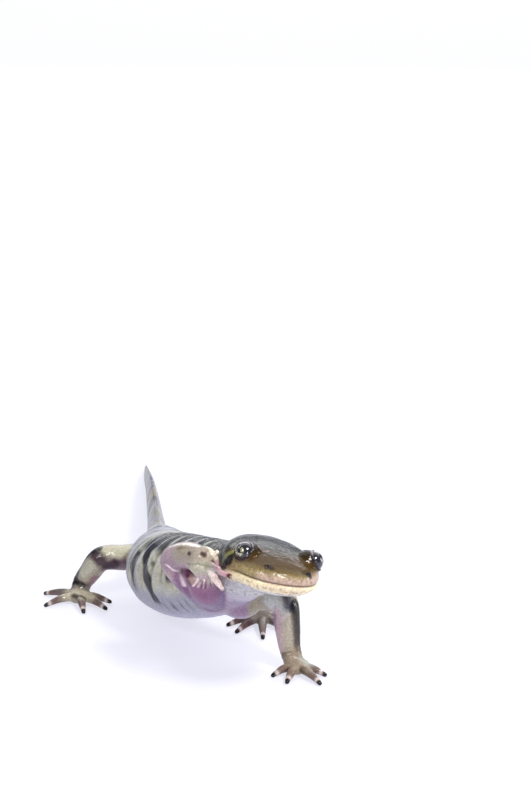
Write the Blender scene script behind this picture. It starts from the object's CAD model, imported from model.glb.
# %% [markdown]
# # A barred tiger salamander in mid-step
# The animal stands on its left hand and both hind feet, with its tail low over the floor.
# It holds its right hand up beside its cheek.
# One wet skin is fused from lofted forms. Functions fold, wrinkle and paint it by place on the body.

import math

import bmesh
import bpy
import numpy as np
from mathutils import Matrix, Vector


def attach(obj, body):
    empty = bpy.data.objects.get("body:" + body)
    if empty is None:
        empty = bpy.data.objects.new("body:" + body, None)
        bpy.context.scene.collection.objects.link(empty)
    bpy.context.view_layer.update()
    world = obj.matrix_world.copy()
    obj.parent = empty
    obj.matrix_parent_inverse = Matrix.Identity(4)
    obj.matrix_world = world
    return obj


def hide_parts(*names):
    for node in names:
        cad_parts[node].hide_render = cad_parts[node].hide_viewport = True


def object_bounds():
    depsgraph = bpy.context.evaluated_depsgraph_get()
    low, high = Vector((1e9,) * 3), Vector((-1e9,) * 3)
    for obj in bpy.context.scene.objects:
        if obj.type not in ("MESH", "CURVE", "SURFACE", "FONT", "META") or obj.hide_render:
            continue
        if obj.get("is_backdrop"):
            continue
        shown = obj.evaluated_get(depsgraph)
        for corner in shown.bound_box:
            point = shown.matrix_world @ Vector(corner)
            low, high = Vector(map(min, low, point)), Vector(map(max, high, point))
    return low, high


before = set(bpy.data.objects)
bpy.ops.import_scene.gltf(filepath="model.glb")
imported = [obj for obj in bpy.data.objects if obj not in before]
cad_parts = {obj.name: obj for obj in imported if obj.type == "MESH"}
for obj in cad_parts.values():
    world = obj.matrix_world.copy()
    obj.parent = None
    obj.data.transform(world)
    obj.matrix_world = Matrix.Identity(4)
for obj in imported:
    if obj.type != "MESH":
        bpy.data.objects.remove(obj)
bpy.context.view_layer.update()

# %% [markdown]
# ## Small helpers
# One function turns hex colours into linear ones, and one adds a shader node.
# The others shape masks between 0 and 1, or read lengths and directions along a line of places.

# %%
MM = 0.001
HASH_PRIMES = np.array((73856093, 19349663, 83492791), dtype=np.int64)


def linear(hexed):
    parts = [int(hexed[k : k + 2], 16) / 255 for k in (1, 3, 5)]
    return [c / 12.92 if c <= 0.04045 else ((c + 0.055) / 1.055) ** 2.4 for c in parts] + [1.0]


def add_node(tree, kind, inputs=None, **settings):
    node = tree.nodes.new(kind)
    for key, value in settings.items():
        setattr(node, key, value)
    for key, value in (inputs or {}).items():
        if isinstance(value, bpy.types.NodeSocket):
            tree.links.new(value, node.inputs[key])
        else:
            node.inputs[key].default_value = value
    return node


def ramp(x, low, high):
    t = np.clip((x - low) / (high - low), 0.0, 1.0)
    return t * t * (3 - 2 * t)


def bump(x, centre, width):
    return np.exp(-(((x - centre) / width) ** 2))


def unit(v):
    v = np.asarray(v, float)
    return v / np.linalg.norm(v)


def lengths_along(points):
    steps = np.linalg.norm(np.diff(points, axis=0), axis=1)
    return np.concatenate([[0.0], np.cumsum(steps)])


def directions(points):
    ways = np.gradient(points, axis=0)
    return ways / np.linalg.norm(ways, axis=1)[:, None]


def speckle(p, size, seed=0):
    """Smooth noise between 0 and 1 with features of a given size in millimetres."""
    q = p / size + 71.3 * (seed + 1)
    cell = np.floor(q).astype(np.int64)
    f = q - cell
    u = f * f * (3 - 2 * f)
    total = np.zeros(len(p))
    for dx in (0, 1):
        for dy in (0, 1):
            for dz in (0, 1):
                corner = (cell + (dx, dy, dz)) * HASH_PRIMES
                n = corner[:, 0] ^ corner[:, 1] ^ corner[:, 2]
                n = (n ^ (n >> 13)) * 1274126177 + seed * 7919
                value = ((n ^ (n >> 16)) & 0xFFFF) / 65535.0
                wx = u[:, 0] if dx else 1 - u[:, 0]
                wy = u[:, 1] if dy else 1 - u[:, 1]
                wz = u[:, 2] if dz else 1 - u[:, 2]
                total += value * wx * wy * wz
    return total


def rough(p, size, seed=0):
    """Two sizes of noise together."""
    return 0.65 * speckle(p, size, seed) + 0.35 * speckle(p, size * 0.45, seed + 5)


print("helpers ready")

# %% [markdown]
# ## Stations of the body
# These are the same stations as in the source of the solids, in millimetres.
# X points to the animal's left, Y towards the tail tip and Z up.
# Each spine row holds a place, the half width, the height above it and the depth below it.

# %%
MIDDLE = np.array((-14.0, 43.4, 0.0))

SPINE = (
    ((4.2, -17.2, 25.2), 7.2, 5.0, 6.2),
    ((1.2, -13.4, 22.2), 7.4, 6.0, 6.9),
    ((-2.9, -9.0, 19.2), 8.5, 7.6, 8.4),
    ((-9.5, -1.2, 16.2), 9.7, 8.9, 9.8),
    ((-15.2, 8.5, 13.6), 10.3, 9.0, 10.0),
    ((-17.6, 19.5, 11.6), 9.2, 8.0, 8.9),
    ((-18.6, 31.0, 10.2), 6.3, 6.2, 6.8),
    ((-20.3, 41.0, 8.8), 3.2, 5.2, 5.8),
    ((-21.5, 56.0, 7.3), 2.3, 5.4, 6.0),
    ((-23.2, 76.0, 6.0), 1.8, 5.0, 5.6),
    ((-25.0, 96.0, 4.4), 1.35, 4.0, 4.3),
    ((-26.8, 113.0, 2.4), 0.95, 2.5, 2.4),
    ((-27.8, 125.5, 0.9), 0.45, 0.8, 0.9),
)
HEAD_ORIGIN = np.array((4.0, -16.5, 26.2))
HEAD_YAW, HEAD_PITCH, HEAD_ROLL = 16.3, 5.0, -13.2
HEAD_LENGTH, HEAD_HALF_WIDTH, HEAD_WIDEST, HEAD_BLUNTNESS = 22.8, 10.2, 0.36, 2.3
HEAD_PROFILE = (
    (0.00, 4.9, 6.6),
    (0.20, 5.4, 6.7),
    (0.40, 5.4, 5.9),
    (0.58, 4.9, 5.0),
    (0.74, 4.1, 4.2),
    (0.87, 3.1, 3.5),
    (0.95, 2.1, 2.8),
    (1.00, 0.8, 1.6),
)
HEAD_RINGS, HEAD_REACH, HEAD_CROWDING, HEAD_END = 80, 1.3, 1.8, 0.9985
NAPE, NAPE_RADIUS, NAPE_STRETCH = (2.6, -14.6, 23.4), 7.3, (1.1, 1.0, 0.92)
TAIL_FROM, KEEL_GROWS_OVER, TAIL_KEEL = 60.0, 18.0, 0.45
ROUND, HEAD_SQUARENESS, RING_SIDES = 2.0, 2.35, 56
NECK_NARROWING, NAPE_LENGTH, NAPE_DROP = 0.26, 0.32, 9.0
EYE_RADIUS, EYE_ALONG, EYE_APART, EYE_HEIGHT = 2.15, 14.4, 7.7, 3.6
EYE_AXIS = unit((0.35, 0.76, 0.55))
LID_RADIUS, LID_INSET = 3.0, 1.55
NOSTRIL = (20.5, 4.65, 2.3)

LEFT_ARM = (
    ((-1.0, -3.5, 15.0), 4.2),
    ((4.6, -8.8, 14.7), 3.7),
    ((9.8, -13.6, 14.5), 3.1),
    ((10.6, -15.0, 9.4), 2.85),
    ((11.2, -16.0, 4.4), 2.4),
    ((12.0, -17.4, 2.0), 2.2),
)
RIGHT_ARM = (
    ((-3.0, -11.0, 16.4), 4.4),
    ((-6.6, -13.6, 17.4), 4.2),
    ((-11.0, -15.4, 21.0), 3.5),
    ((-14.2, -17.6, 25.5), 2.85),
    ((-12.2, -21.5, 28.2), 2.85),
    ((-9.8, -25.4, 29.5), 2.9),
    ((-8.2, -28.0, 29.6), 2.9),
)
RIGHT_ARM_FOLD = (
    ((-5.5, -12.5, 16.5), 4.2),
    ((-7.4, -17.0, 19.6), 3.8),
    ((-8.8, -20.8, 23.2), 2.8),
    ((-9.8, -22.6, 25.4), 2.2),
)
CHEST, CHEST_RADIUS = (0.2, -8.2, 14.6), 5.8
RIGHT_LEG = (
    ((-19.5, 31.0, 9.4), 3.6),
    ((-27.0, 27.8, 9.8), 3.1),
    ((-33.2, 24.8, 10.4), 2.9),
    ((-36.0, 26.2, 6.6), 2.6),
    ((-38.0, 27.0, 3.4), 2.3),
    ((-38.4, 25.6, 1.9), 2.2),
)
LEFT_LEG = (
    ((-16.0, 31.0, 9.4), 3.6),
    ((-8.5, 26.6, 9.4), 3.1),
    ((-2.0, 21.0, 8.8), 2.9),
    ((2.0, 17.2, 5.8), 2.6),
    ((4.7, 14.2, 3.2), 2.3),
    ((5.0, 12.4, 1.9), 2.2),
)
LIMBS = {"left_arm": LEFT_ARM, "right_arm": RIGHT_ARM, "right_leg": RIGHT_LEG, "left_leg": LEFT_LEG}

SOLE_HEIGHT, SOLE_RADIUS, DIGIT_RADIUS = 1.5, 2.9, 0.95
PAD_RADIUS = 0.54 * DIGIT_RADIUS
FEET = {
    "left_arm": ((12.6, -18.6), ((7.0, -21.9), (10.3, -25.7), (17.8, -26.4), (19.2, -21.5))),
    "right_leg": (
        (-38.4, 24.2),
        ((-30.6, 22.5), (-31.4, 17.9), (-36.7, 15.6), (-46.5, 20.1), (-47.3, 28.4)),
    ),
    "left_leg": ((5.0, 10.8), ((-3.3, 7.8), (-1.1, 3.3), (5.2, -0.4), (11.4, 2.8), (13.0, 9.6))),
}
RIGHT_PALM, RIGHT_PALM_RADIUS = np.array((-7.2, -29.5, 29.5)), 3.6
RIGHT_TIPS = ((-4.4, -30.4, 32.2), (-4.4, -34.4, 30.2), (-1.6, -35.6, 28.7), (-3.3, -33.6, 25.2))
print(len(SPINE), "spine stations,", len(LIMBS), "limbs")

# %% [markdown]
# ## Lofts and balls
# A smooth curve runs through each table of stations, and rings round it are joined into closed forms.

# %%


def smooth_through(stations, count):
    rows = np.array(stations, float)
    knots = lengths_along(rows[:, :3])
    slopes = np.gradient(rows, knots, axis=0)
    where = np.linspace(0.0, knots[-1], count)
    index = np.clip(np.searchsorted(knots, where, side="right") - 1, 0, len(rows) - 2)
    span = (knots[index + 1] - knots[index])[:, None]
    t = (where - knots[index])[:, None] / span
    start = (2 * t**3 - 3 * t**2 + 1) * rows[index]
    leaving = (t**3 - 2 * t**2 + t) * span * slopes[index]
    end = (3 * t**2 - 2 * t**3) * rows[index + 1]
    arriving = (t**3 - t**2) * span * slopes[index + 1]
    return start + leaving + end + arriving


def rows_of(stations, count):
    return smooth_through([(*place, radius) for place, radius in stations], count)


def section(half_width, above, below, squareness, sides):
    turn = np.linspace(0.0, 2 * math.pi, sides, endpoint=False)
    c, s = np.cos(turn), np.sin(turn)
    power = 2.0 / squareness
    across = half_width * np.sign(c) * np.abs(c) ** power
    height = np.where(s >= 0, above, below) * np.sign(s) * np.abs(s) ** power
    return across, height


def loft(rings):
    sides = len(rings[0])
    work = bmesh.new()
    rows = [[work.verts.new(Vector(p * MM)) for p in ring] for ring in rings]
    for low, high in zip(rows, rows[1:]):
        for k in range(sides):
            n = (k + 1) % sides
            work.faces.new((low[k], low[n], high[n], high[k]))
    for row in (rows[0], rows[-1]):
        hub = work.verts.new(sum((v.co for v in row), Vector()) / sides)
        for k in range(sides):
            work.faces.new((row[k], row[(k + 1) % sides], hub))
    bmesh.ops.recalc_face_normals(work, faces=work.faces)
    mesh = bpy.data.meshes.new("loft")
    work.to_mesh(mesh)
    work.free()
    return mesh


def ball(centre, radius, stretch=(1.0, 1.0, 1.0), segments=40, rings=28):
    work = bmesh.new()
    bmesh.ops.create_uvsphere(work, u_segments=segments, v_segments=rings, radius=radius * MM)
    bmesh.ops.scale(work, verts=work.verts, vec=Vector(stretch))
    bmesh.ops.translate(work, verts=work.verts, vec=Vector(np.asarray(centre, float) * MM))
    mesh = bpy.data.meshes.new("ball")
    work.to_mesh(mesh)
    work.free()
    return mesh


def tube(stations, rings=60, flat=1.0, sides=32):
    rows = rows_of(stations, rings)
    along = np.gradient(rows[:, :3], axis=0)
    side = np.cross(along[0], (0.0, 0.0, 1.0))
    if np.linalg.norm(side) < 0.1 * np.linalg.norm(along[0]):
        side = np.array([1.0, 0.0, 0.0])
    made = []
    for row, step in zip(rows, along):
        step = unit(step)
        side = unit(side - step * np.dot(side, step))
        lift = np.cross(side, step)
        across, height = section(row[3], row[3] * flat, row[3] * flat, ROUND, sides)
        made.append(row[:3] + across[:, None] * side + height[:, None] * lift)
    return loft(made)


print("loft tools ready")

# %% [markdown]
# ## Trunk, tail and head
# The trunk rings stand square to the spine, and their sideways direction points to the animal's right.
# The head has its own forward, left and up directions.

# %%
SPINE_ROWS = smooth_through([(*place, *sizes) for place, *sizes in SPINE], 220)
CENTRES = SPINE_ROWS[:, :3]
ALONG = directions(CENTRES)
RIGHT = -np.cross(ALONG, (0.0, 0.0, 1.0))
RIGHT /= np.linalg.norm(RIGHT, axis=1)[:, None]
UP = np.cross(ALONG, RIGHT)
UP *= np.sign(UP[:, 2])[:, None]


def body_form():
    keels = TAIL_KEEL * ramp(lengths_along(CENTRES), TAIL_FROM, TAIL_FROM + KEEL_GROWS_OVER)
    rings = []
    for centre, right, up, sizes, keel in zip(CENTRES, RIGHT, UP, SPINE_ROWS[:, 3:], keels):
        across, height = section(*sizes, ROUND - keel, RING_SIDES)
        rings.append(centre + across[:, None] * right + height[:, None] * up)
    return loft(rings)


def head_axes():
    yaw, pitch, roll = (math.radians(v) for v in (HEAD_YAW, HEAD_PITCH, HEAD_ROLL))
    flat = math.cos(pitch)
    forward = np.array([math.sin(yaw) * flat, -math.cos(yaw) * flat, math.sin(pitch)])
    level = np.array([math.cos(yaw), math.sin(yaw), 0.0])
    lift = np.cross(forward, level)
    left = math.cos(roll) * level + math.sin(roll) * lift
    up = -math.sin(roll) * level + math.cos(roll) * lift
    return np.array([forward, left, up])


HEAD_AXES = head_axes()


def head_point(along, left, up):
    return HEAD_ORIGIN + np.array([along, left, up]) @ HEAD_AXES


def head_half_width(share):
    ahead = np.clip((share - HEAD_WIDEST) / (1 - HEAD_WIDEST), 0.0, 1.0)
    behind = np.clip((HEAD_WIDEST - share) / HEAD_WIDEST, 0.0, 1.0)
    snout = (1 - ahead**HEAD_BLUNTNESS) ** (1 / HEAD_BLUNTNESS)
    return HEAD_HALF_WIDTH * snout * (1 - NECK_NARROWING * behind**2)


def head_form():
    profile = np.array(HEAD_PROFILE)
    shares = 1.0 - HEAD_REACH * (1.0 - np.linspace(0.0, 1.0, HEAD_RINGS)) ** HEAD_CROWDING
    rings = []
    for share in np.minimum(shares, HEAD_END):
        above, below = (np.interp(share, profile[:, 0], profile[:, k]) for k in (1, 2))
        nape = math.sqrt(max(1.0 - (min(share, 0.0) / NAPE_LENGTH) ** 2, 0.0))
        sizes = (nape * head_half_width(share), nape * above, nape * below)
        across, height = section(*sizes, HEAD_SQUARENESS, RING_SIDES)
        centre = HEAD_ORIGIN + share * HEAD_LENGTH * HEAD_AXES[0]
        centre[2] += NAPE_DROP * min(share, 0.0)
        rings.append(centre + across[:, None] * HEAD_AXES[1] + height[:, None] * HEAD_AXES[2])
    return loft(rings)


def eye_centre(side):
    return head_point(EYE_ALONG, side * EYE_APART, EYE_HEIGHT)


def lid_mound(side):
    ahead, apart, height = EYE_AXIS * LID_INSET
    place = head_point(EYE_ALONG - ahead, side * (EYE_APART - apart), EYE_HEIGHT - height)
    return ball(place, LID_RADIUS)


forms = [body_form(), head_form(), ball(NAPE, NAPE_RADIUS, NAPE_STRETCH)]
forms += [ball(CHEST, CHEST_RADIUS), lid_mound(-1), lid_mound(1)]
print("head faces", HEAD_AXES[0].round(2), "and", len(forms), "forms are made")

# %% [markdown]
# ## Limbs, hands and feet
# Each digit is a tapered tube that ends in a small rounded pad.
# The digits that stand on the floor arch a little, and those of the lifted hand are straight.

# %%


def digit(root, tip, arch=0.5):
    root, tip = np.array(root, float), np.array(tip, float)
    middle = root + 0.55 * (tip - root) + np.array((0.0, 0.0, arch))
    end = tip - unit(tip - root) * 0.6 * DIGIT_RADIUS
    widths = (1.35 * DIGIT_RADIUS, DIGIT_RADIUS, 0.56 * DIGIT_RADIUS)
    return tube(tuple(zip((root, middle, end), widths)), 20, 0.9, 20)


def pad(place):
    return ball(place, PAD_RADIUS, segments=20, rings=14)


def foot_forms(foot):
    (x, y), tips = foot
    made = [ball((x, y, SOLE_HEIGHT), SOLE_RADIUS, (1.0, 1.0, 0.6))]
    for tip_x, tip_y in tips:
        made.append(digit((x, y, SOLE_HEIGHT), (tip_x, tip_y, 0.55 * DIGIT_RADIUS)))
        inward = unit((x - tip_x, y - tip_y, 0.0)) * 0.5 * DIGIT_RADIUS
        made.append(pad(np.array((tip_x, tip_y, PAD_RADIUS)) + inward))
    return made


def lifted_hand_forms():
    made = [tube(RIGHT_ARM_FOLD), ball(RIGHT_PALM, RIGHT_PALM_RADIUS, (0.9, 0.65, 1.0))]
    for tip in RIGHT_TIPS:
        made.append(digit(RIGHT_PALM, tip, 0.0))
        made.append(pad(tip))
    return made


for limb in LIMBS.values():
    forms.append(tube(limb))
for foot in FEET.values():
    forms.extend(foot_forms(foot))
forms.extend(lifted_hand_forms())
print(len(forms), "forms in all")

# %% [markdown]
# ## One skin over all the forms
# A voxel remesh fuses the forms. Rounds of evening out then soften the joins like flesh.

# %%
VOXEL = 0.24
RELAX_ROUNDS = 26
EVEN_OUT, SWELL_BACK = 0.55, -0.56


def fused(meshes, voxel):
    work = bmesh.new()
    for mesh in meshes:
        work.from_mesh(mesh)
        bpy.data.meshes.remove(mesh)
    whole = bpy.data.meshes.new("salamander_skin")
    work.to_mesh(whole)
    work.free()
    obj = bpy.data.objects.new("fusing", whole)
    bpy.context.scene.collection.objects.link(obj)
    remesh = obj.modifiers.new("fuse", "REMESH")
    remesh.mode = "VOXEL"
    remesh.voxel_size = voxel * MM
    depsgraph = bpy.context.evaluated_depsgraph_get()
    mesh = bpy.data.meshes.new_from_object(obj.evaluated_get(depsgraph))
    bpy.data.objects.remove(obj)
    return mesh


def largest_island(mesh):
    work = bmesh.new()
    work.from_mesh(mesh)
    work.verts.ensure_lookup_table()
    start = max(work.verts, key=lambda v: v.co.z)
    seen = {start}
    stack = [start]
    while stack:
        here = stack.pop()
        for edge in here.link_edges:
            there = edge.other_vert(here)
            if there not in seen:
                seen.add(there)
                stack.append(there)
    stray = [v for v in work.verts if v not in seen]
    bmesh.ops.delete(work, geom=stray, context="VERTS")
    work.to_mesh(mesh)
    work.free()
    return mesh


def places(mesh):
    co = np.empty(len(mesh.vertices) * 3)
    mesh.vertices.foreach_get("co", co)
    return co.reshape(-1, 3) / MM


def set_places(mesh, co):
    mesh.vertices.foreach_set("co", (co * MM).ravel())
    mesh.update()


def normals(mesh):
    out = np.empty(len(mesh.vertices) * 3, dtype=np.float32)
    mesh.vertex_normals.foreach_get("vector", out)
    return out.reshape(-1, 3).astype(float)


def relax(mesh, rounds):
    co = places(mesh)
    pairs = np.empty(len(mesh.edges) * 2, dtype=np.int32)
    mesh.edges.foreach_get("vertices", pairs)
    a, b = pairs.reshape(-1, 2).T
    count = np.bincount(a, minlength=len(co)) + np.bincount(b, minlength=len(co))
    for k in range(rounds * 2):
        total = np.empty_like(co)
        for axis in range(3):
            total[:, axis] = np.bincount(a, co[b, axis], len(co)) + np.bincount(b, co[a, axis], len(co))
        co += (EVEN_OUT if k % 2 == 0 else SWELL_BACK) * (total / count[:, None] - co)
    set_places(mesh, co)


skin = largest_island(fused(forms, VOXEL))
relax(skin, RELAX_ROUNDS)
print("skin has", len(skin.vertices), "points")

# %% [markdown]
# ## Where each point lies on the body
# Every point of the skin is read against the spine, the four limbs and the head.
# The side reading is positive on the animal's right flank, the height reading is positive above the spine.
# Folds and markings are then functions of these readings.

# %%
POINTS_AT_ONCE = 20000


def read_line(co, centres, along):
    index = np.empty(len(co), dtype=int)
    for start in range(0, len(co), POINTS_AT_ONCE):
        some = slice(start, start + POINTS_AT_ONCE)
        index[some] = ((co[some, None] - centres[None]) ** 2).sum(axis=2).argmin(axis=1)
    offset = co - centres[index]
    return index, offset, lengths_along(centres)[index] + (offset * along[index]).sum(axis=1)


co = places(skin)
index, offset, s = read_line(co, CENTRES, ALONG)
side = (offset * RIGHT[index]).sum(axis=1)
height = (offset * UP[index]).sum(axis=1)
across = side / SPINE_ROWS[index, 3]
upward = height / np.where(height >= 0, SPINE_ROWS[index, 4], SPINE_ROWS[index, 5])
reach = np.hypot(across, upward)
on_trunk = 1 - ramp(reach, 1.08, 1.25)

limb_at, limb_reach = {}, {}
for name, stations in LIMBS.items():
    rows = rows_of(stations, 60)
    where, away, length = read_line(co, rows[:, :3], directions(rows[:, :3]))
    limb_at[name] = length
    limb_reach[name] = np.linalg.norm(away, axis=1) / rows[where, 3]

head = (co - HEAD_ORIGIN) @ HEAD_AXES.T
share = np.clip(head[:, 0] / HEAD_LENGTH, 0.0, 1.0)
print("length of trunk and tail:", round(float(s.max()), 1), "mm")

# %% [markdown]
# ## Folds of the body
# Costal grooves part twelve ribs of skin along the flanks, with finer creases between them.
# The gular fold crosses the throat.

# %%
COSTAL_FROM, COSTAL_TO, COSTAL_COUNT, COSTAL_DEPTH = 13.0, 55.0, 12, 0.38
GULAR_AT, GULAR_DEPTH, GULAR_WIDTH = 1.5, 0.9, 0.8
GROOVE_WIDTH, GROOVE_LEAN = 0.5, 0.15
CREASES_PER_RIB, CREASE_WIDTH, CREASE_DEPTH, LUMP_DEPTH = 3.2, 0.16, 0.08, 0.16

period = (COSTAL_TO - COSTAL_FROM) / COSTAL_COUNT
phase = (s - COSTAL_FROM) / period + GROOVE_LEAN * np.clip(height / 8.0, -1, 1)
costal_valley = np.exp(-((np.abs(phase - np.round(phase)) * period / GROOVE_WIDTH) ** 2))
costal_reach = ramp(s, COSTAL_FROM - 2, COSTAL_FROM) * (1 - ramp(s, COSTAL_TO, COSTAL_TO + 2)) * on_trunk
flank = 1 - 0.75 * bump(side, 0.0, 1.6) * (height > 0)
wander = 0.5 * (speckle(co, 5.0, 3) - 0.5)
fine_phase = (s + wander) / (period / CREASES_PER_RIB)
fine_crease = np.exp(-((np.abs(fine_phase - np.round(fine_phase)) / CREASE_WIDTH) ** 2))
fine_crease *= speckle(co, 3.0, 8)
uneven = 0.35 + 0.65 * ramp(speckle(co, 5.5, 14), 0.25, 0.7)
low_flank = 1 - 0.6 * ramp(-height, -1.0, 4.0)
move = COSTAL_DEPTH * costal_valley * costal_reach * flank * uneven * low_flank
move += CREASE_DEPTH * fine_crease * ramp(s, 3, 8) * (1 - ramp(s, 48, 58)) * on_trunk
move += LUMP_DEPTH * (rough(co, 3.4, 15) - 0.5) * (1 - ramp(s, 60, 70)) * on_trunk

throat = ramp(-height, -1.0, 2.5) * on_trunk
move += GULAR_DEPTH * bump(s, GULAR_AT, GULAR_WIDTH) * throat
print("grooves move the skin by up to", round(float(move.max()), 2), "mm")

# %% [markdown]
# ## Line of the mouth, lips and nostrils
# The mouth runs from the front of the snout back below each eye, with a full lower lip under it.

# %%
MOUTH_FRONT, MOUTH_CORNER, MOUTH_FRONT_HEIGHT, MOUTH_CORNER_HEIGHT = 22.6, 8.0, -0.6, -1.8
MOUTH_DEPTH, LIP_FULLNESS, CHIN_CREASE = 0.42, 0.10, 0.16
NOSTRIL_DEPTH, NOSTRIL_RIM = 0.5, 0.10

backward = np.clip((MOUTH_FRONT - head[:, 0]) / (MOUTH_FRONT - MOUTH_CORNER), 0.0, 1.2)
mouth = MOUTH_FRONT_HEIGHT + (MOUTH_CORNER_HEIGHT - MOUTH_FRONT_HEIGHT) * backward**1.5
mouth += 0.5 * np.sin(np.pi * np.clip(backward, 0, 1)) ** 2
over_mouth = head[:, 2] - mouth
near_face = ramp(np.abs(head[:, 1]) - head_half_width(share), -2.2, -1.2)
near_face = np.maximum(near_face, ramp(head[:, 0], HEAD_LENGTH - 3.0, HEAD_LENGTH - 2.0))
on_lips = ramp(head[:, 0], MOUTH_CORNER - 1.0, MOUTH_CORNER + 1.0) * near_face
move += MOUTH_DEPTH * bump(over_mouth, 0.0, 0.26) * on_lips
move -= LIP_FULLNESS * bump(over_mouth, -0.8, 0.5) * on_lips
move += CHIN_CREASE * bump(over_mouth, -2.0, 0.35) * on_lips

for sign in (-1, 1):
    along, apart, high = NOSTRIL
    away = np.linalg.norm(co - head_point(along, sign * apart, high), axis=1)
    move += NOSTRIL_DEPTH * bump(away, 0.0, 0.42) - NOSTRIL_RIM * bump(away, 0.8, 0.3)

co -= normals(skin) * move[:, None]
print("face carved")

# %% [markdown]
# ## Eyelids
# Points inside each eye opening drop below the eyeball, and the points round it hug the ball as a thin lid.

# %%
LID_OPENING, LID_THICKNESS, LID_RIM_HEIGHT, SOCKET_DEPTH = 1.22, 0.16, 0.16, 0.45

lid_rim = np.zeros(len(co))
for sign in (-1, 1):
    axis = (EYE_AXIS * np.array((1, sign, 1))) @ HEAD_AXES
    ray = co - eye_centre(sign)
    far = np.linalg.norm(ray, axis=1)
    angle = np.arccos(np.clip((ray @ axis) / np.maximum(far, 1e-6), -1, 1))
    inside = (1 - ramp(angle, LID_OPENING - 0.10, LID_OPENING)) * (far < 4.0)
    hug = ramp(angle, LID_OPENING - 0.10, LID_OPENING + 0.02) * (far < EYE_RADIUS + 0.9)
    rim = bump(angle, LID_OPENING + 0.10, 0.14)
    want = EYE_RADIUS + LID_THICKNESS + LID_RIM_HEIGHT * rim
    over_ball = np.maximum(far, want)
    size = far + (over_ball - far) * hug
    size = size + (EYE_RADIUS - SOCKET_DEPTH - size) * inside
    moved = eye_centre(sign) + ray / far[:, None] * size[:, None]
    co = np.where(((inside + hug) > 0)[:, None], moved, co)
    lid_rim += rim * (far < EYE_RADIUS + 1.2)
print("lids round both eyes")

# %% [markdown]
# ## Wrinkles of the limbs
# Skin gathers in rings at the wrist and ankles that stand, and along the lifted forearm.
# A zone runs between two lengths along its limb, in millimetres from the shoulder or hip.

# %%
WRINKLE_ZONES = {
    "left_arm": (24.0, 33.0),
    "right_leg": (22.0, 31.0),
    "left_leg": (26.0, 33.0),
    "right_arm": (14.0, 24.0),
}
WRINKLE_PITCH, WRINKLE_WIDTH, WRINKLE_DEPTH = 1.15, 0.17, 0.13

set_places(skin, co)
wrinkle = np.zeros(len(co))
for name, (low, high) in WRINKLE_ZONES.items():
    ring = (limb_at[name] + 0.8 * (speckle(co, 2.0, 4) - 0.5)) / WRINKLE_PITCH
    crease = np.exp(-((np.abs(ring - np.round(ring)) / WRINKLE_WIDTH) ** 2))
    on_limb = 1 - ramp(limb_reach[name], 1.25, 1.6)
    zone = ramp(limb_at[name], low, low + 2) * (1 - ramp(limb_at[name], high - 1, high))
    wrinkle += crease * on_limb * zone * (0.4 + 0.6 * speckle(co, 2.5, 6))
co = co - normals(skin) * (WRINKLE_DEPTH * wrinkle)[:, None]
co[:, 2] = np.maximum(co[:, 2], 0.0)
set_places(skin, co)
print("wrinkles on", int((wrinkle > 0.1).sum()), "points")

# %% [markdown]
# ## Painting tools
# The skin's own colour starts as one pale olive grey.
# Each mark lays a colour over it by a mask from 0 to 1.
# A mark is a soft line through a few places on the skin, given in the same millimetres as the stations.

# %%


def paint(mask, hexed, strength=1.0):
    weight = np.clip(mask * strength, 0, 1)[:, None]
    tone[:] += (np.array(linear(hexed)[:3]) - tone) * weight


def near_line(points, radius, edge):
    """1 within a radius of a line through places, falling to 0 over a soft edge."""
    points = [np.array(p, float) for p in points]
    nearest = np.full(len(co), 1e9)
    for a, b in zip(points, points[1:] + points[-1:]):
        way = b - a
        t = np.clip((co - a) @ way / max(way @ way, 1e-9), 0, 1)
        nearest = np.minimum(nearest, np.linalg.norm(co - a - t[:, None] * way, axis=1))
    ragged = edge * 0.7 * (rough(co, 1.3, 21) - 0.5)
    return 1 - ramp(nearest + ragged, radius - edge / 2, radius + edge / 2)


def paint_marks(marks, where):
    for hexed, strength, radius, edge, *points in marks:
        paint(near_line(points, radius, edge) * where, hexed, strength)


tone = np.tile(np.array(linear("#acaa9d")[:3]), (len(co), 1))
tone *= (0.82 + 0.36 * rough(co, 2.2, 31))[:, None]
print("painting tools ready")

# %% [markdown]
# ## Which skin is head, limb or trunk
# Marks of one part don't run over on to another part that happens to lie close to it.

# %%
feet_skin = np.zeros(len(co))
for (x, y), tips in FEET.values():
    away = np.hypot(co[:, 0] - x, co[:, 1] - y)
    feet_skin = np.maximum(feet_skin, (1 - ramp(away, 11.0, 12.5)) * (1 - ramp(co[:, 2], 3.2, 5.5)))
limb_skin = feet_skin.copy()
for name in ("left_arm", "right_leg", "left_leg"):
    part = (1 - ramp(limb_reach[name], 1.35, 1.7)) * ramp(limb_at[name], 6.0, 9.0)
    limb_skin = np.maximum(limb_skin, part)
palm_away = np.linalg.norm(co - RIGHT_PALM, axis=1)
fold_rows = rows_of(RIGHT_ARM_FOLD, 40)
fold_away = np.linalg.norm(co[:, None] - fold_rows[None, :, :3], axis=2).min(axis=1)
lifted = (1 - ramp(limb_reach["right_arm"], 1.25, 1.6)) * ramp(limb_at["right_arm"], 8, 12)
lifted = np.maximum(lifted, 1 - ramp(palm_away, 8.5, 9.5))
lifted = np.maximum(lifted, 1 - ramp(fold_away, 4.2, 5.2))
head_box = (head[:, 0] > 2.0) & (np.abs(head[:, 1]) < 10.4) & (head[:, 2] > -7.0)
lifted *= 1 - head_box
on_head = ramp(head[:, 0], -3.0, 0.5) * (1 - lifted) * (np.abs(head[:, 1]) < 12) * (head[:, 2] > -9.0)
on_head *= 1 - ramp(limb_at["left_arm"], 8.0, 10.0) * (limb_reach["left_arm"] < 1.6)
limb_skin = np.clip(limb_skin, 0, 1) * (1 - on_head) * (1 - lifted)
torso = (1 - limb_skin) * (1 - on_head) * (1 - lifted)
print("head, limb, lifted arm:", [round(float(m.mean()), 2) for m in (on_head, limb_skin, lifted)])

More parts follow.
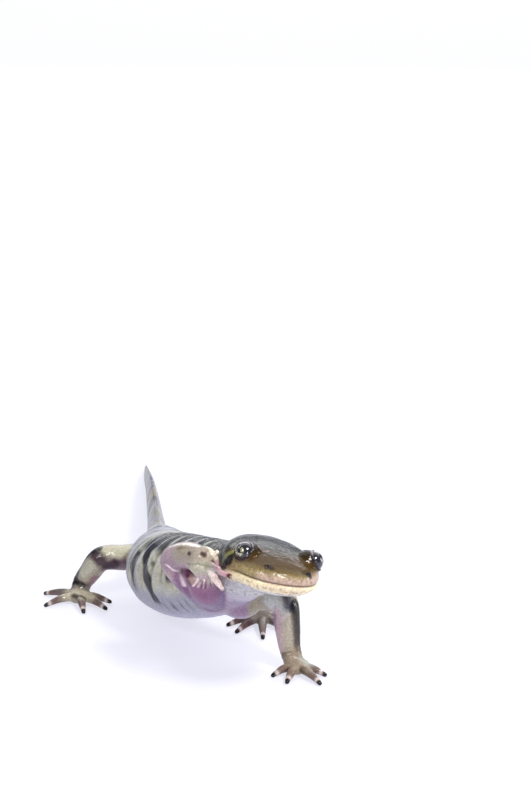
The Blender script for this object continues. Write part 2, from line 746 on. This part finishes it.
# %% [markdown]
# ## Trunk and tail
# Dark over the back, barred on the flanks, lavender below, and pale again over the hips and the tail.
# A bar has a place along the spine, the turns round the body where it starts and ends in degrees,
# half its width in millimetres, and a slant.

# %%
turn = np.degrees(np.arctan2(across, upward))
around = np.abs(turn) + 14 * (rough(co, 4.0, 41) - 0.5)
along_body = s + 1.6 * (rough(co, 3.2, 42) - 0.5) + 2.2 * (turn < 0)

paint(ramp(around, 88, 112) * torso, "#90909f", 0.85)
paint(ramp(around, 125, 150) * torso, "#a09caf", 0.85)
paint(ramp(s, 34, 40) * (1 - ramp(s, 60, 70)) * torso, "#989aa3", 0.8)
paint(ramp(s, 62, 72) * torso, "#8e8d90", 0.9)
paint(ramp(s, 62, 72) * bump(rough(co, 3.0, 44), 0.7, 0.2) * torso, "#77745f", 0.6)
back = (1 - ramp(around, 34, 52)) * ramp(s, -8, -3) * (1 - ramp(along_body, 31, 38))
paint(back * torso, "#1d1f28", 0.93)
paint(back * bump(np.sin(along_body * 2 * math.pi / 11.0), 1.0, 0.35) * torso, "#6c6f62", 0.7)
paint(bump(around, 55, 12) * (s < 32) * torso * ramp(rough(co, 2.6, 43), 0.45, 0.6), "#3c4030", 0.75)
TRUNK_BARS = (
    (34.8, 50, 104, 0.9, 0.02),
    (30.0, 22, 118, 1.6, 0.065),
    (21.6, 25, 84, 1.25, 0.03),
    (14.6, 20, 100, 1.3, 0.05),
    (7.5, 20, 80, 1.1, 0.02),
    (42.5, 10, 90, 1.1, 0.03),
    (50.0, 10, 95, 1.2, 0.03),
    (57.0, 5, 85, 1.2, 0.02),
    (66.0, 15, 110, 1.2, 0.02),
    (76.0, 20, 120, 1.4, 0.02),
    (89.0, 12, 125, 1.5, 0.02),
    (104.0, 12, 130, 1.6, 0.02),
    (118.0, 12, 130, 1.5, 0.02),
    (129.0, 12, 130, 1.3, 0.02),
    (141.0, 12, 130, 1.2, 0.02),
)
BAR_PALES_AT, FRONT_BAR, REAR_BAR = 40.0, 0.9, 0.72
for at, low, high, half, slant in TRUNK_BARS:
    middle = at - slant * (around - 60)
    narrowing = half * (1 - 0.45 * ramp(around, low, high))
    bar = 1 - ramp(np.abs(along_body - middle), narrowing - 0.35, narrowing + 0.45)
    bar *= ramp(around, low - 6, low + 6) * (1 - ramp(around, high - 7, high + 7))
    paint(bar * torso, "#1b1d2b", FRONT_BAR if at < BAR_PALES_AT else REAR_BAR)
streaks = ramp(np.sin(along_body * 2 * math.pi / 2.4), 0.2, 0.9) * bump(around, 124, 10) * bump(s, 21, 4.5)
paint(streaks * torso, "#30334a", 0.6)
paint(bump(along_body, 33.2, 1.3) * bump(around, 90, 30) * torso, "#84848f", 0.7)
crest = np.abs(phase - np.floor(phase) - 0.5) * 2
paint((1 - ramp(crest, 0.05, 0.2)) * (1 - ramp(around, 50, 85)) * costal_reach * torso, "#c3c6d2", 0.55)
paint(costal_valley * costal_reach * torso * (1 - ramp(around, 60, 100)) * uneven, "#15161f", 0.3)
TAIL_MARKS = (
    ("#8d8d92", 0.70, 2.6, 2.6, (-24.2, 104.0, 7.6), (-23.4, 86.0, 10.0), (-23.0, 64.0, 11.0)),
    ("#2c282c", 0.92, 1.5, 1.5, (-24.3, 80.0, 9.9), (-24.9, 76.0, 8.6)),
    ("#252327", 0.94, 1.7, 1.5, (-22.9, 67.5, 11.2), (-24.4, 63.0, 9.2)),
    ("#7b755a", 0.80, 2.0, 1.8, (-23.3, 75.0, 10.8), (-23.4, 70.0, 10.6)),
    ("#5d5b70", 0.85, 1.5, 1.4, (-24.9, 92.5, 9.2), (-24.6, 90.0, 9.0)),
    ("#4f4e5a", 0.75, 1.1, 1.4, (-24.2, 85.0, 9.4), (-23.6, 84.0, 10.0)),
    ("#8f8f93", 0.60, 1.6, 2.0, (-25.4, 100.0, 8.0), (-25.6, 106.0, 7.0)),
    ("#5f5f66", 0.70, 1.0, 1.3, (-21.6, 66.0, 11.8), (-20.9, 61.0, 12.0)),
    ("#66656c", 0.75, 0.9, 1.2, (-22.6, 56.5, 11.6), (-24.2, 53.0, 10.4)),
    ("#7f7f90", 0.60, 1.8, 2.4, (-23.3, 52.0, 10.2), (-21.4, 46.0, 12.0)),
)
paint_marks(TAIL_MARKS, torso)
print(len(TRUNK_BARS), "bars on each side of trunk and tail")

# %% [markdown]
# ## Chest and throat
# The chest is mauve where the lifted arm stretches it, and lavender towards the middle.
# One ochre speck sits below the throat.

# %%
CHEST_MARKS = (
    ("#988b9e", 0.90, 6.5, 5.0, (-6.5, -19.5, 16.5), (2.5, -13.5, 13.0)),
    ("#8a6580", 0.75, 2.6, 3.5, (-9.5, -20.5, 18.0), (-5.5, -20.5, 17.6)),
    ("#8e7489", 0.70, 1.6, 2.5, (-1.0, -13.6, 12.4), (3.5, -12.6, 12.2)),
    ("#6d4a68", 0.75, 1.1, 1.6, (4.0, -13.2, 14.2), (5.4, -13.6, 13.6)),
    ("#b3afb8", 0.80, 1.9, 2.0, (-3.2, -18.6, 18.4), (0.6, -18.4, 17.6), (3.4, -17.2, 16.8)),
    ("#c9c3c4", 0.85, 0.8, 0.9, (5.4, -14.5, 16.2), (5.6, -14.6, 14.8)),
    ("#c79a45", 1.00, 0.42, 0.3, (-5.0, -15.8, 13.8), (-4.3, -15.8, 13.8)),
    ("#4a3414", 0.90, 0.16, 0.2, (-4.9, -15.9, 14.15), (-4.4, -15.9, 14.15)),
)
paint_marks(CHEST_MARKS, torso)
print(len(CHEST_MARKS), "chest marks")

# %% [markdown]
# ## Lifted arm and hand
# The back of the arm is olive with dark blotches. The side seen in the photo is pinkish beige.
# It has two dark dimples in the palm, a pale upper rim, a fan of wet white pleats and brown digit tips.

# %%
behind = ramp(normals(skin)[:, 1], 0.05, 0.45)
blotch = ramp(rough(co, 2.4, 71), 0.42, 0.58)
paint(lifted, "#a8959a", 0.95)
paint(lifted * behind, "#8b8575", 0.9)
paint(lifted * behind * blotch, "#35322f", 0.8)
paint(lifted * (1 - ramp(co[:, 2], 18.5, 22.5)), "#80708a", 0.95)
ARM_MARKS = (
    ("#8b7582", 0.75, 2.3, 2.5, (-15.6, -19.5, 25.6), (-11.3, -26.8, 27.4)),
    ("#6f4262", 0.80, 1.5, 1.8, (-11.0, -23.0, 25.4), (-10.4, -22.0, 21.5), (-8.4, -21.5, 18.6)),
    ("#7a5a78", 0.75, 1.6, 2.0, (-13.0, -19.3, 22.6), (-11.6, -18.0, 18.4)),
    ("#8a6580", 0.80, 3.2, 3.0, (-9.4, -21.5, 20.2), (-6.8, -20.6, 18.2)),
    ("#9a9580", 0.70, 2.6, 2.6, (-12.6, -25.4, 30.6), (-6.6, -31.2, 31.4)),
    ("#a8a795", 0.75, 1.5, 1.4, (-9.2, -30.8, 29.0), (-6.0, -32.5, 28.8)),
    ("#5d5545", 0.60, 0.35, 0.6, (-13.2, -24.4, 31.0), (-8.4, -28.8, 32.2), (-6.4, -30.4, 32.4)),
    (
        *("#d9d4cf", 0.85, 0.45, 0.7),
        *((-15.8, -17.6, 27.6), (-12.4, -23.6, 31.6), (-8.8, -27.2, 32.6), (-6.0, -29.4, 32.8)),
    ),
    (
        *("#dccfd2", 0.80, 0.40, 0.6),
        *((-16.2, -18.6, 26.6), (-15.0, -21.4, 25.6), (-12.8, -19.8, 23.6), (-11.8, -18.8, 20.4)),
    ),
    ("#3a2a35", 0.85, 0.45, 0.6, (-10.6, -28.8, 31.5), (-10.1, -29.2, 31.3)),
    ("#3a2328", 0.85, 0.50, 0.6, (-7.5, -31.0, 32.1), (-7.0, -31.2, 31.9)),
    ("#b8959a", 0.85, 1.2, 0.9, (-4.2, -31.5, 29.6), (-2.2, -34.8, 29.0)),
    ("#e0d3cc", 0.85, 1.1, 0.9, (-5.2, -32.2, 28.2), (-3.6, -33.6, 26.2)),
    ("#cfc6b4", 0.85, 1.0, 0.9, (-5.0, -30.4, 32.4), (-4.2, -30.4, 31.6)),
    ("#3a1d1a", 0.90, 0.55, 0.7, (-5.2, -31.6, 30.5), (-5.0, -31.7, 30.3)),
    ("#2a1618", 0.90, 0.45, 0.6, (-4.1, -33.6, 29.0), (-4.2, -33.4, 28.8)),
    ("#4a1f1c", 0.95, 0.75, 0.6, (-1.7, -35.7, 28.9), (-1.4, -35.8, 28.6)),
)
paint_marks(ARM_MARKS, lifted)
PLEATS = (
    ("#cdbfb2", 0.90, 0.75, 0.6, (-6.0, -22.0, 22.9), (-5.7, -21.6, 22.3)),
    ("#a08a78", 0.80, 0.60, 0.7, (-9.9, -23.9, 24.2), (-10.1, -23.6, 22.6)),
    ("#5a3850", 0.85, 0.55, 0.7, (-10.9, -23.2, 24.2), (-10.6, -22.4, 21.8)),
    ("#5f3f56", 0.85, 0.16, 0.2, (-8.6, -23.5, 23.2), (-9.3, -23.0, 21.8)),
    ("#2c1e24", 0.90, 0.22, 0.25, (-7.9, -24.0, 24.4), (-8.1, -23.6, 23.2)),
    ("#563350", 0.85, 0.18, 0.25, (-7.7, -23.3, 23.0), (-8.1, -22.8, 21.0)),
    ("#5a3a4c", 0.80, 0.16, 0.25, (-7.0, -22.9, 22.9), (-7.1, -22.3, 21.0)),
    ("#6b4a4c", 0.80, 0.22, 0.3, (-6.3, -22.1, 23.2), (-6.0, -21.6, 21.4)),
    ("#ddd3cb", 0.80, 0.24, 0.3, (-8.5, -24.2, 24.4), (-9.0, -23.7, 23.0), (-9.8, -22.9, 21.7)),
    ("#e2d9d3", 0.75, 0.16, 0.3, (-8.1, -23.7, 23.9), (-8.3, -23.3, 22.8), (-8.7, -23.0, 21.5)),
    ("#e2d9d3", 0.75, 0.20, 0.3, (-7.4, -23.6, 24.4), (-7.3, -23.1, 22.8)),
    ("#c2adb2", 0.70, 0.10, 0.2, (-7.4, -22.9, 22.5), (-7.6, -22.6, 21.0)),
    ("#b59ca3", 0.65, 0.10, 0.2, (-6.8, -22.5, 22.8), (-6.6, -22.0, 21.0)),
)
paint_marks(PLEATS, lifted)
print(len(ARM_MARKS), "marks on the lifted arm")

# %% [markdown]
# ## Standing limbs
# Olive beige, almost black along the outer edge, mauve inside, banded at knee, ankle and wrist.
# Each digit ends in a black tip with a pale ring before it.

# %%
paint(limb_skin, "#9b9488", 0.95)
paint(limb_skin * behind * blotch, "#35322f", 0.75)
paint(feet_skin, "#665d59", 0.85)
LIMB_MARKS = (
    ("#b5b29f", 0.80, 2.6, 2.6, (-32.0, 23.0, 13.0), (-26.5, 25.4, 12.2)),
    ("#7d6575", 0.80, 2.0, 2.0, (-30.5, 23.2, 9.2), (-26.4, 25.6, 8.4)),
    ("#3d2936", 0.90, 1.6, 1.8, (-34.2, 22.8, 11.8), (-31.6, 22.2, 10.0), (-30.0, 22.8, 9.6)),
    (
        *("#15131b", 0.94, 1.2, 1.0),
        *((-33.8, 24.4, 13.6), (-37.2, 25.6, 10.8), (-39.0, 26.2, 8.0), (-40.4, 25.6, 4.4)),
    ),
    ("#a9a798", 0.75, 1.5, 1.5, (-35.8, 22.6, 9.6), (-37.2, 23.8, 7.4)),
    ("#8a6672", 0.70, 1.1, 1.2, (-34.6, 24.0, 6.0), (-35.2, 24.4, 4.4)),
    ("#120f14", 0.92, 0.9, 0.8, (-39.6, 25.4, 5.2), (-37.8, 24.6, 3.9)),
    ("#aaa391", 0.80, 2.2, 2.0, (-41.2, 23.0, 2.8), (-36.5, 21.5, 2.8)),
    ("#2a2026", 0.80, 0.6, 0.8, (-39.6, 21.9, 2.2), (-36.8, 20.6, 2.0)),
    ("#1c171c", 0.85, 0.6, 0.6, (-42.0, 25.6, 3.0), (-44.4, 27.0, 2.2)),
    ("#b7b9b8", 0.85, 2.4, 2.0, (7.2, -15.4, 15.4), (8.6, -16.2, 13.6)),
    ("#3c3e4e", 0.85, 1.2, 1.2, (10.4, -15.6, 16.0), (11.0, -16.4, 14.4)),
    ("#b09aa0", 0.80, 1.7, 1.6, (8.2, -16.8, 12.4), (8.0, -16.4, 8.4), (8.8, -16.6, 4.8)),
    ("#7c5678", 0.70, 0.7, 0.8, (7.8, -15.8, 12.0), (7.7, -15.8, 8.2)),
    (
        *("#17161c", 0.93, 1.6, 0.9),
        *((12.5, -16.0, 14.4), (13.1, -16.4, 11.9), (13.5, -17.0, 8.8), (13.6, -17.6, 5.4)),
    ),
    ("#5f564c", 0.50, 0.7, 1.0, (11.9, -17.3, 12.4), (12.5, -17.5, 5.6)),
    ("#4b343c", 0.85, 1.5, 1.2, (-0.6, 8.4, 1.8), (-3.2, 7.9, 0.8)),
    ("#4b343c", 0.85, 1.5, 1.2, (1.6, 6.0, 1.8), (-1.0, 3.4, 0.8)),
    ("#6a605a", 0.60, 2.2, 2.0, (3.4, 9.6, 3.0), (6.4, 8.4, 3.0)),
    ("#120f12", 0.92, 0.42, 0.5, (9.0, -17.6, 3.6), (11.2, -18.6, 4.5), (13.7, -17.0, 4.5)),
    ("#8f8373", 0.85, 3.6, 3.0, (12.6, -19.6, 2.6), (12.6, -22.0, 1.6)),
    ("#9fa19a", 0.70, 1.4, 1.4, (14.6, -18.6, 3.0), (15.6, -19.6, 2.4)),
    ("#3b2a1f", 0.80, 0.8, 1.2, (10.6, -21.4, 1.6), (10.2, -22.6, 0.8)),
    ("#35281f", 0.75, 0.8, 1.2, (14.2, -21.6, 1.6), (15.2, -23.4, 0.8)),
)
paint_marks(LIMB_MARKS, limb_skin)
digit_at = np.full(len(co), 9.0)
for (x, y), tips in FEET.values():
    for tip_x, tip_y in tips:
        digit_at = np.minimum(digit_at, np.linalg.norm(co - np.array((tip_x, tip_y, 0.6)), axis=1))
paint((1 - ramp(digit_at, 3.2, 4.6)) * feet_skin, "#6b5450", 0.55)
paint(bump(digit_at, 1.5, 0.4) * feet_skin * (co[:, 2] > 0.5), "#cfc7c3", 0.7)
paint((1 - ramp(digit_at, 0.8, 1.15)) * feet_skin, "#0e0b0d", 0.95)
print(len(LIMB_MARKS), "marks on the standing limbs")

# %% [markdown]
# ## Head
# Charcoal crown, golden brown snout and beige upper lip.
# A thin dark mouth line runs over a cream lower jaw and a grey throat.

# %%
left_cheek = ramp(np.abs(head[:, 1]), 6.0, 8.0) * (head[:, 1] > 0)
crown = np.maximum(1 - ramp(head[:, 0], 12.0, 15.5), left_cheek)
speck = ramp(rough(co, 0.55, 51), 0.52, 0.66)
paint(on_head, "#5d4d2a", 0.95)
paint(on_head * ramp(head[:, 2], 1.6, 3.2), "#4c370b", 0.92)
paint(on_head * ramp(head[:, 2], 3.4, 4.8) * (1 - ramp(head[:, 0], 15.5, 19.0)), "#2f2914", 0.85)
paint(on_head * ramp(head[:, 2], 2.0, 4.2) * crown, "#1f2024", 0.95)
paint(on_head * (1 - ramp(head[:, 0], 6.0, 9.5)) * ramp(head[:, 2], -4.0, -1.5), "#1d2120", 0.95)
cheek = (1 - ramp(over_mouth, 1.2, 3.0)) * ramp(head[:, 0], 8.5, 11.0)
paint(on_head * cheek, "#a99b77", 0.75)
front = ramp(head[:, 0], 19.5, 21.5) * (1 - ramp(over_mouth, 1.0, 2.2))
left_lip = ramp(head[:, 1], 3.5, 6.0) * (1 - ramp(over_mouth, 1.4, 3.0))
paint(on_head * np.maximum(front, left_lip), "#b19c93", 0.8)
paint(on_head * ramp(-over_mouth, 0.05, 0.35) * ramp(head[:, 0], 7.0, 9.0), "#ddd0b0", 0.95)
paint(on_head * ramp(-over_mouth, 0.05, 0.35) * ramp(head[:, 0], 20.5, 22.5), "#bfae9c", 0.6)
paint(on_head * ramp(-over_mouth, 1.9, 2.7), "#b9b7bb", 0.95)
paint(on_head * speck * ramp(-over_mouth, 0.2, 0.8), "#77747c", 0.5)
upper_lip = ramp(-over_mouth, -3.0, -2.0) * (1 - ramp(-over_mouth, -1.0, 0.2))
paint(on_head * speck * upper_lip, "#4f4630", 0.35)
paint(on_head * bump(over_mouth, 0.05, 0.16) * ramp(head[:, 0], 12.0, 17.0), "#3a2a1e", 0.85)
HEAD_MARKS = (
    ("#12131a", 0.95, 1.35, 1.0, (-1.9, -30.2, 30.6), (-2.9, -28.4, 29.4), (-3.3, -27.2, 28.4)),
    (
        *("#8b8c52", 0.90, 0.60, 0.6),
        *((-0.7, -29.1, 32.0), (-1.9, -28.3, 31.2), (-2.8, -27.7, 30.1), (-3.2, -27.3, 29.1)),
    ),
    ("#39371c", 0.80, 0.55, 0.6, (0.9, -26.2, 33.0), (-1.3, -26.3, 32.2), (-2.8, -26.2, 30.8)),
    ("#2b1d24", 0.85, 0.55, 0.7, (6.2, -36.6, 31.4), (7.0, -36.9, 30.9)),
    ("#0e0c10", 0.95, 0.75, 0.6, (14.9, -34.5, 28.8), (14.9, -34.6, 28.4)),
    ("#120f12", 0.60, 0.60, 0.8, (13.8, -35.2, 29.6), (14.4, -35.0, 29.2)),
    ("#b9a2a4", 0.80, 0.28, 0.4, (4.2, -31.2, 33.6), (5.0, -30.9, 33.0), (6.4, -30.6, 32.6)),
    ("#5b5560", 0.80, 0.40, 0.6, (-1.6, -31.6, 25.4), (2.6, -34.6, 25.0), (6.4, -35.4, 24.4)),
)
paint_marks(HEAD_MARKS, on_head)
paint(np.clip(lid_rim, 0, 1), "#2f2735", 0.85)
paint(np.clip(lid_rim, 0, 1) ** 3 * ramp(head[:, 2], 4.6, 5.6), "#b3abb4", 0.9)
gular = bump(s, GULAR_AT + 1.3, 0.6) * ramp(-height, -1.0, 2.0) * torso
paint(gular, "#d5d2d6", 0.7)
print(len(HEAD_MARKS), "marks on the head")

# %% [markdown]
# ## Wet amphibian skin
# The painted tones get a fine grain of 0.4 mm. Small bumps break the shine of the slime coat into sparks.
# Wet skin looks deeper than dry skin, most of all where it is dark.

# %%
WET_DEPTH, WET_LIFT = 1.25, 1.35
GRAIN_SCALE, GRAIN_RELIEF = 2300.0, 0.00005
PEBBLE_SCALE, PEBBLE_RELIEF = 900.0, 0.00015
tone = WET_LIFT * tone ** WET_DEPTH
opaque = np.c_[np.clip(tone, 0, 1), np.ones(len(tone))].astype(np.float32)
layer = skin.attributes.new("skin_tone", "FLOAT_COLOR", "POINT")
layer.data.foreach_set("color", opaque.ravel())


def skin_material():
    material = bpy.data.materials.new("wet_amphibian_skin")
    material.use_nodes = True
    tree = material.node_tree
    shader = tree.nodes["Principled BSDF"]
    place = add_node(tree, "ShaderNodeTexCoord").outputs["Object"]
    painted = add_node(tree, "ShaderNodeAttribute", attribute_name="skin_tone").outputs["Color"]
    grains = add_node(tree, "ShaderNodeTexNoise", {"Vector": place, "Scale": GRAIN_SCALE, "Detail": 3.0})
    pebbles = add_node(tree, "ShaderNodeTexNoise", {"Vector": place, "Scale": PEBBLE_SCALE, "Detail": 2.0})
    fleck = add_node(
        tree,
        "ShaderNodeMapRange",
        {"Value": grains.outputs["Fac"], "From Min": 0.3, "From Max": 0.7, "To Min": 0.80, "To Max": 1.20},
    )
    shade = add_node(
        tree,
        "ShaderNodeVectorMath",
        {0: painted, "Scale": fleck.outputs["Result"]},
        operation="SCALE",
    )
    tree.links.new(shade.outputs["Vector"], shader.inputs["Base Color"])
    low_relief = add_node(
        tree,
        "ShaderNodeBump",
        {"Height": pebbles.outputs["Fac"], "Strength": 1.0, "Distance": PEBBLE_RELIEF},
    )
    relief = add_node(
        tree,
        "ShaderNodeBump",
        {
            "Height": grains.outputs["Fac"],
            "Strength": 1.0,
            "Distance": GRAIN_RELIEF,
            "Normal": low_relief.outputs["Normal"],
        },
    )
    tree.links.new(relief.outputs["Normal"], shader.inputs["Normal"])
    tree.links.new(relief.outputs["Normal"], shader.inputs["Coat Normal"])
    shader.inputs["Roughness"].default_value = 0.42
    shader.inputs["Specular IOR Level"].default_value = 0.0
    shader.inputs["Coat Weight"].default_value = 0.6
    shader.inputs["Coat Roughness"].default_value = 0.08
    return material


skin.materials.clear()
skin.materials.append(skin_material())
skin.polygons.foreach_set("use_smooth", np.ones(len(skin.polygons), dtype=bool))
set_places(skin, places(skin) - MIDDLE)
body = bpy.data.objects.new("salamander_skin", skin)
bpy.context.scene.collection.objects.link(body)
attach(body, "root")
flesh_nodes = [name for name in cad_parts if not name.startswith("eye_")]
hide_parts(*flesh_nodes)
print("flesh nodes replaced:", len(flesh_nodes))

# %% [markdown]
# ## Eyes
# Each eye is a black-violet ball under a clear coat.
# Its round pupil lies inside a ring of silver and gold flecks.

# %%
EYE_LOOK = {"eye_right": unit((0.52, -0.80, 0.14)), "eye_left": unit((0.30, 0.92, 0.20))}
PUPIL, PUPIL_EDGE, IRIS, IRIS_EDGE = 0.19, 0.04, 0.46, 0.12


def eye_material(name):
    material = bpy.data.materials.new(name + "_glassy_iris")
    material.use_nodes = True
    tree = material.node_tree
    shader = tree.nodes["Principled BSDF"]
    place = add_node(tree, "ShaderNodeAttribute", attribute_name="from_pupil").outputs["Fac"]
    where = add_node(tree, "ShaderNodeTexCoord").outputs["Object"]
    flecks = add_node(tree, "ShaderNodeTexNoise", {"Vector": where, "Scale": 3200.0, "Detail": 3.0})
    gold = add_node(tree, "ShaderNodeValToRGB", {"Fac": flecks.outputs["Fac"]})
    ramp_stops = gold.color_ramp.elements
    ramp_stops[0].position, ramp_stops[0].color = 0.44, linear("#0e0c14")
    ramp_stops[1].position, ramp_stops[1].color = 0.60, linear("#c6c39f")
    ring, rim = (
        add_node(tree, "ShaderNodeMapRange", {"Value": place, "From Min": at, "From Max": at + edge})
        for at, edge in ((PUPIL, PUPIL_EDGE), (IRIS, IRIS_EDGE))
    )
    inner = add_node(
        tree,
        "ShaderNodeMix",
        {"Factor": ring.outputs["Result"], "A": linear("#030304"), "B": gold.outputs["Color"]},
        data_type="RGBA",
    )
    outer = add_node(
        tree,
        "ShaderNodeMix",
        {"Factor": rim.outputs["Result"], "A": inner.outputs["Result"], "B": linear("#120e1c")},
        data_type="RGBA",
    )
    tree.links.new(outer.outputs["Result"], shader.inputs["Base Color"])
    shader.inputs["Roughness"].default_value = 0.2
    shader.inputs["Coat Weight"].default_value = 1.0
    shader.inputs["Coat Roughness"].default_value = 0.02
    return material


for sign, name in ((-1, "eye_right"), (1, "eye_left")):
    mesh = ball((0, 0, 0), EYE_RADIUS, segments=96, rings=64)
    look = EYE_LOOK[name] @ HEAD_AXES
    spots = places(mesh)
    angle = np.arccos(np.clip(spots @ look / EYE_RADIUS, -1, 1))
    layer = mesh.attributes.new("from_pupil", "FLOAT", "POINT")
    layer.data.foreach_set("value", angle.astype(np.float32))
    mesh.materials.append(eye_material(name))
    mesh.polygons.foreach_set("use_smooth", np.ones(len(mesh.polygons), dtype=bool))
    set_places(mesh, spots + eye_centre(sign) - MIDDLE)
    eye = bpy.data.objects.new(name + "_ball", mesh)
    bpy.context.scene.collection.objects.link(eye)
    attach(eye, "root")
    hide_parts(name)
print("two eyes of", EYE_RADIUS * 2, "mm")

# %% [markdown]
# ## Floor, light and camera
# The floor is a pale sheet lit softly from within, like a studio backdrop.
# One large soft light hangs above and behind it. Five smaller ones put the shine on the wet skin.
# The camera looks down at the photo's angle.

# %%
floor_mesh = bpy.data.meshes.new("floor")
work = bmesh.new()
bmesh.ops.create_grid(work, x_segments=1, y_segments=1, size=3.0)
work.to_mesh(floor_mesh)
work.free()
floor = bpy.data.objects.new("floor", floor_mesh)
bpy.context.scene.collection.objects.link(floor)
sheet = bpy.data.materials.new("backlit_opal_acrylic")
sheet.use_nodes = True
glow = sheet.node_tree.nodes["Principled BSDF"].inputs
glow["Base Color"].default_value = linear("#94949a")
glow["Roughness"].default_value = 0.7
glow["Emission Color"].default_value = linear("#f4f4ff")
glow["Emission Strength"].default_value = 0.68
floor_mesh.materials.append(sheet)
floor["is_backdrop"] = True

world = bpy.data.worlds.new("studio")
world.use_nodes = True
sky = world.node_tree.nodes["Background"].inputs
sky["Color"].default_value = linear("#eef0ff")
sky["Strength"].default_value = 0.35
bpy.context.scene.world = world


def softbox(name, place, target, size, power):
    light = bpy.data.lights.new(name, "AREA")
    light.shape = "RECTANGLE"
    light.size, light.size_y = size
    light.energy = power
    lamp = bpy.data.objects.new(name, light)
    lamp.location = place
    lamp.rotation_euler = (Vector(target) - Vector(place)).to_track_quat("-Z", "Y").to_euler()
    bpy.context.scene.collection.objects.link(lamp)


ON_HEAD = (0.02, -0.07, 0.03)
softbox("ceiling", (0.2, 1.9, 1.3), (0.2, 1.9, 0.0), (3.0, 3.2), 41.0)
softbox("back_strip", (0.05, 0.85, 0.32), (0.0, 0.0, 0.03), (0.9, 0.16), 1.6)
softbox("key", (0.21, -0.26, 0.38), ON_HEAD, (0.09, 0.08), 1.6)
softbox("fill", (-0.22, -0.40, 0.34), (0.0, -0.02, 0.02), (0.08, 0.08), 0.8)
softbox("low_strip", (0.22, -0.48, 0.08), (0.02, -0.07, 0.02), (0.03, 0.14), 0.4)
softbox("side_strip", (0.42, 0.02, 0.07), ON_HEAD, (0.08, 0.20), 0.5)

CAMERA_PLACE = np.array((5.795, -470.49, 191.54))
CAMERA_DIP = 15.988
camera = bpy.data.cameras.new("camera")
camera.lens = 100
camera.clip_start = 0.01
camera.clip_end = 10
eye_point = bpy.data.objects.new("camera", camera)
eye_point.location = Vector((CAMERA_PLACE - MIDDLE) * MM)
eye_point.rotation_euler = (math.radians(90 - CAMERA_DIP), 0, 0)
bpy.context.scene.collection.objects.link(eye_point)
bpy.context.scene.camera = eye_point
bpy.context.scene.view_settings.view_transform = "Standard"
print("camera at", [round(v, 3) for v in eye_point.location])

# %% [markdown]
# ## Sizes and hand-over
# The box of the visual model is written next to the box of the solids.

# %%
low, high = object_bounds()
